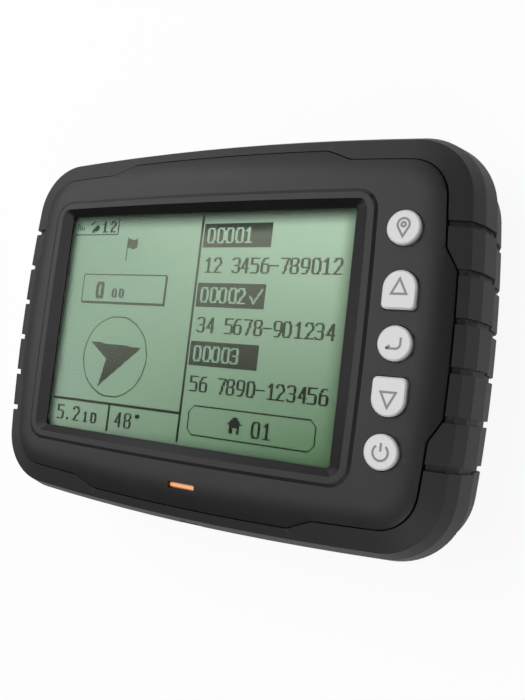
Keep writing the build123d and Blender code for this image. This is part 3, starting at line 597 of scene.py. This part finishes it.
for c, r in sorted(dark_dots):
    square = ((c, r), (c + 1, r), (c + 1, r + 1), (c, r + 1))
    for level in (0, 1):
        screen_mesh.faces.new([corner(*p, level) for p in square])
    for i, beside in enumerate(((c, r - 1), (c + 1, r), (c, r + 1), (c - 1, r))):
        if beside not in dark_dots:
            a, b = square[i], square[(i + 1) % 4]
            screen_mesh.faces.new((corner(*a, 0), corner(*b, 0), corner(*b, 1), corner(*a, 1)))
new_piece("screen_dots", screen_mesh, dot_film, "case")

# the front polariser under the dots, a sheet of the same colour as the cell it is stuck to
sheet_thickness = 0.006 * mm
sheet = bmesh.new()
bmesh.ops.create_cube(sheet, size=1)
sheet_size = Vector((cell_high.x - cell_low.x, cell_high.y - cell_low.y, sheet_thickness))
for vertex in sheet.verts:
    vertex.co = vertex.co * sheet_size + Vector((cell_middle.x, cell_middle.y, cell_high.z))
new_piece("screen_polariser", sheet, cell_glass, "case")

# --- Behind the display -------------------------------------------------------------------------
# The backlight is a milky acrylic light guide in a white ABS tray. An amber polyimide tail takes
# the display's lines down to a black connector on the board.
# milky white with a fine etched pattern that spreads the light
opal = blank_material("acrylic_opal_guide")
place = add(opal, "TexCoord", {}).outputs["Object"]
etched = add(opal, "TexVoronoi", {"Vector": place, "Scale": 1 / (0.8 * mm)})
tint = add(opal, "Mix", {"Factor": etched.outputs["Distance"], "A": linear("e9eee9"),
                         "B": linear("d5dcd5")}, data_type="RGBA")
shader = add(opal, "BsdfPrincipled", {"Base Color": tint.outputs["Result"], "Roughness": 0.35,
                                      "IOR": 1.49, "Subsurface Weight": 0.2})
add(opal, "OutputMaterial", {"Surface": shader.outputs["BSDF"]})
dress("backlight", opal)
dress("lcd_tray", moulded_abs("abs_moulded_white", "dcdcd8", "e6e6e2", 0.4))

# amber film with copper lines 1 mm apart that show through it; a wave texture at a scale of 1
# turns through 20 radians in a metre
trace_pitch = 1 * mm
polyimide = blank_material("polyimide_copper_lines")
place = add(polyimide, "TexCoord", {}).outputs["Object"]
traces = add(polyimide, "TexWave", {"Vector": place, "Scale": 2 * pi / (20 * trace_pitch),
                                    "Distortion": 0.0}, bands_direction="X")
tint = add(polyimide, "Mix", {"Factor": traces.outputs["Fac"], "A": linear("8a4a12"),
                              "B": linear("b56a22")}, data_type="RGBA")
shader = add(polyimide, "BsdfPrincipled", {"Base Color": tint.outputs["Result"], "Roughness": 0.3,
                                           "IOR": 1.7})
add(polyimide, "OutputMaterial", {"Surface": shader.outputs["BSDF"]})
dress("lcd_flex", polyimide)

# --- Main board ---------------------------------------------------------------------------------
# Four-layer glass epoxy with green solder mask, held by four screws. The packages soldered to it
# are black moulded epoxy and tinned steel.
# the copper tracks show through the glossy mask as paler ways, drawn 3 mm apart so that they show
solder_mask = blank_material("glass_epoxy_green_mask")
place = add(solder_mask, "TexCoord", {}).outputs["Object"]
tracks = add(solder_mask, "TexBrick", {"Vector": place, "Scale": 1 / (3 * mm),
                                       "Color1": linear("0f5a2c"), "Color2": linear("0c4f27"),
                                       "Mortar": linear("1f7a40"), "Mortar Size": 0.03})
shader = add(solder_mask, "BsdfPrincipled", {"Base Color": tracks.outputs["Color"], "Roughness": 0.3,
                                             "Coat Weight": 0.5})
add(solder_mask, "OutputMaterial", {"Surface": shader.outputs["BSDF"]})
dress("main_board", solder_mask)
dress("antenna_board", solder_mask)

# the sand that fills it makes moulding compound a dull, slightly speckled black
epoxy = blank_material("moulding_compound_black")
place = add(epoxy, "TexCoord", {}).outputs["Object"]
filler = add(epoxy, "TexNoise", {"Vector": place, "Scale": 1 / (0.15 * mm), "Detail": 3.0})
tint = add(epoxy, "Mix", {"Factor": filler.outputs["Fac"], "A": linear("151517"),
                          "B": linear("242427")}, data_type="RGBA")
shader = add(epoxy, "BsdfPrincipled", {"Base Color": tint.outputs["Result"], "Roughness": 0.6,
                                       "IOR": 1.55})
add(epoxy, "OutputMaterial", {"Surface": shader.outputs["BSDF"]})
for node in ("processor", "memory_chip", "power_coil", "buzzer", "flex_connector"):
    dress(node, epoxy)

# pale and softly mirroring, with the faint waves of thin rolled sheet
tin = bare_metal("tin_plated_steel", "c9cbca", 0.3, 0.8)
for node in ("shield_can", "backup_cell", "charging_socket"):
    dress(node, tin)

# --- Satellite antenna --------------------------------------------------------------------------
# A fired ceramic patch on a small board of its own, standing at the top edge of the case so that
# it looks at the sky when the case is held up.
# unglazed, so tan, dry and without shine
ceramic = blank_material("ceramic_fired_tan")
place = add(ceramic, "TexCoord", {}).outputs["Object"]
grog = add(ceramic, "TexNoise", {"Vector": place, "Scale": 1 / (0.4 * mm), "Detail": 5.0})
tint = add(ceramic, "Mix", {"Factor": grog.outputs["Fac"], "A": linear("b3a184"),
                            "B": linear("c9b99c")}, data_type="RGBA")
shader = add(ceramic, "BsdfPrincipled", {"Base Color": tint.outputs["Result"], "Roughness": 0.7})
add(ceramic, "OutputMaterial", {"Surface": shader.outputs["BSDF"]})
dress("antenna_patch", ceramic)

# --- Screws and inserts -------------------------------------------------------------------------
# Plain stainless machine screws with a cross slot. The inserts for the battery door's screws and
# for a mount are turned brass, pressed into the rear shell. The hinge pin is spring steel.
# fine turning marks break the shine of both metals into a soft grey and a soft yellow
screw_steel = bare_metal("stainless_turned", "a9abad", 0.32, 0.3)
brass = bare_metal("brass_turned", "b99a56", 0.28, 0.3)
for node in ("board_screws", "case_screws", "door_screws"):
    dress(node, screw_steel)
    soften(node, 0.06)
for node in ("door_inserts", "mount_insert", "battery_pins"):
    dress(node, brass)
dress("port_pin", spring_steel)

# --- Rear shell and case seal -------------------------------------------------------------------
# The lower half of the case, in the same spark eroded ABS, screwed to the front shell from
# behind. An extruded rubber cord lies in the groove between the two halves.
dress("rear_housing", shell_abs)
soften("rear_housing", 0.15)


def moulded_rubber(name, dark, light, roughness, grit):
    """Matt elastomer whose mould was blasted: grit millimetres is the size of its pits."""
    material = blank_material(name)
    place = add(material, "TexCoord", {}).outputs["Object"]
    bloom = add(material, "TexNoise", {"Vector": place, "Scale": 1 / (12 * mm), "Detail": 3.0})
    tint = add(material, "Mix", {"Factor": bloom.outputs["Fac"], "A": linear(dark), "B": linear(light)},
               data_type="RGBA")
    pits = add(material, "TexNoise", {"Vector": place, "Scale": 1 / (grit * mm), "Detail": 4.0})
    bump = add(material, "Bump", {"Height": pits.outputs["Fac"], "Strength": 0.5,
                                  "Distance": 0.03 * mm})
    gloss = add(material, "MapRange", {"Value": pits.outputs["Fac"], "To Min": roughness - 0.06,
                                       "To Max": roughness + 0.06})
    shader = add(material, "BsdfPrincipled", {"Base Color": tint.outputs["Result"], "IOR": 1.5,
                                              "Roughness": gloss.outputs["Result"],
                                              "Normal": bump.outputs["Normal"]})
    add(material, "OutputMaterial", {"Surface": shader.outputs["BSDF"]})
    return material


# oily black without any shine
seal_rubber = moulded_rubber("nitrile_rubber_black", "0e0e0e", "161616", 0.7, 0.2)
for node in ("housing_gasket", "battery_gasket", "port_seal"):
    dress(node, seal_rubber)

# --- Battery ------------------------------------------------------------------------------------
# A flat lithium pack in grey shrink film on a foam pad. Its door is a moulded ABS plate with a
# gasket round the bay, held by two screws with countersunk seats.
# shrinking pulls the film into slow wrinkles that catch the light
shrink_film = blank_material("shrink_film_grey")
place = add(shrink_film, "TexCoord", {}).outputs["Object"]
wrinkles = add(shrink_film, "TexNoise", {"Vector": place, "Scale": 1 / (5 * mm), "Detail": 3.0})
bump = add(shrink_film, "Bump", {"Height": wrinkles.outputs["Fac"], "Strength": 0.4,
                                 "Distance": 0.2 * mm})
tint = add(shrink_film, "Mix", {"Factor": wrinkles.outputs["Fac"], "A": linear("4b4f55"),
                                "B": linear("5a5e64")}, data_type="RGBA")
shader = add(shrink_film, "BsdfPrincipled", {"Base Color": tint.outputs["Result"], "Roughness": 0.35,
                                             "Normal": bump.outputs["Normal"]})
add(shrink_film, "OutputMaterial", {"Surface": shader.outputs["BSDF"]})
dress("battery_pack", shrink_film)
dress("battery_pad", foam_tape)
# the door comes out of a mould of its own, a shade more matt than the shells
dress("battery_door", moulded_abs("abs_spark_eroded_door", "181819", "1e1e1f", 0.48))
soften("battery_door", 0.1)

# --- Bumper and port door -----------------------------------------------------------------------
# Two halves of matt thermoplastic elastomer that hook over the shells, cut with six grip channels
# on each end. The port door is the same rubber round a stiff core, on a steel pin.
# darker than the shells and duller, with a dim broad sheen along its facets
bumper_rubber = moulded_rubber("thermoplastic_elastomer_black", "0e0e0f", "131314", 0.58, 0.4)
for node in ("front_bumper", "rear_bumper", "port_door"):
    dress(node, bumper_rubber)
    soften(node, 0.18)

# --- Studio -------------------------------------------------------------------------------------
# A white paper floor, a large softbox high on the left, one behind and a small one in front, in
# a dim room. The flat faces mirror the left one faintly; facets that lean away stay dark.
floor_half = 2.0
floor_corners = [(floor_half * x, floor_half * y, cad_box[0][2])
                 for x, y in ((-1, -1), (1, -1), (1, 1), (-1, 1))]
floor_mesh = bpy.data.meshes.new("floor")
floor_mesh.from_pydata(floor_corners, [], [(0, 1, 2, 3)])
floor = bpy.data.objects.new("floor", floor_mesh)
bpy.context.scene.collection.objects.link(floor)
# the paper shines white wherever it is looked at, straight, through the pane or in a reflection,
# and keeps a share of its own shading there, which holds the case's shadow
mirrored_share, white_share = 0.8, 0.92
paper = blank_material("paper_white_matt")
matt = add(paper, "BsdfPrincipled", {"Base Color": linear("ececec"), "Roughness": 0.9})
bright = add(paper, "Emission", {"Color": linear("ffffff"), "Strength": 1.0})
ray = add(paper, "LightPath", {})
straight = add(paper, "Math", {0: ray.outputs["Is Camera Ray"], 1: ray.outputs["Is Transmission Ray"]},
               operation="MAXIMUM")
mirrored = add(paper, "Math", {0: ray.outputs["Is Glossy Ray"], 1: mirrored_share},
               operation="MULTIPLY")
seen = add(paper, "Math", {0: straight.outputs["Value"], 1: mirrored.outputs["Value"]},
           operation="MAXIMUM")
share = add(paper, "Math", {0: seen.outputs["Value"], 1: white_share}, operation="MULTIPLY")
mixed = add(paper, "MixShader", {0: share.outputs["Value"], 1: matt.outputs["BSDF"],
                                 2: bright.outputs["Emission"]})
add(paper, "OutputMaterial", {"Surface": mixed.outputs["Shader"]})
floor_mesh.materials.append(paper)


def softbox(name, place, size, power):
    """A rectangular lamp that faces the case, with its place and size in metres and power in watts."""
    light = bpy.data.lights.new(name, "AREA")
    light.shape = "RECTANGLE"
    light.size, light.size_y = size
    light.energy = power
    lamp = bpy.data.objects.new(name, light)
    bpy.context.scene.collection.objects.link(lamp)
    lamp.location = place
    lamp.rotation_euler = (-Vector(place)).to_track_quat("-Z", "Y").to_euler()


softbox("left_softbox", (-0.32, 0.12, 0.57), (0.6, 0.8), 4.1)
softbox("back_softbox", (-0.24, 0.44, 0.36), (0.5, 0.4), 0.8)
softbox("front_softbox", (0.12, -0.20, 0.25), (0.15, 0.1), 0.22)
# the room's walls look white to the camera alone. Light, glossy and transmitted rays get the dim
# side, as white there washed out the display and the black case
room = bpy.data.worlds.new("room")
room.use_nodes = True
room.node_tree.nodes.clear()
dim = add(room, "Background", {"Color": linear("6f6f6f")})
white = add(room, "Background", {"Color": linear("fafafa")})
ray = add(room, "LightPath", {})
walls = add(room, "MixShader", {0: ray.outputs["Is Camera Ray"], 1: dim.outputs["Background"],
                                2: white.outputs["Background"]})
add(room, "OutputWorld", {"Surface": walls.outputs["Shader"]})
bpy.context.scene.world = room
bpy.context.scene.view_settings.view_transform = "Standard"
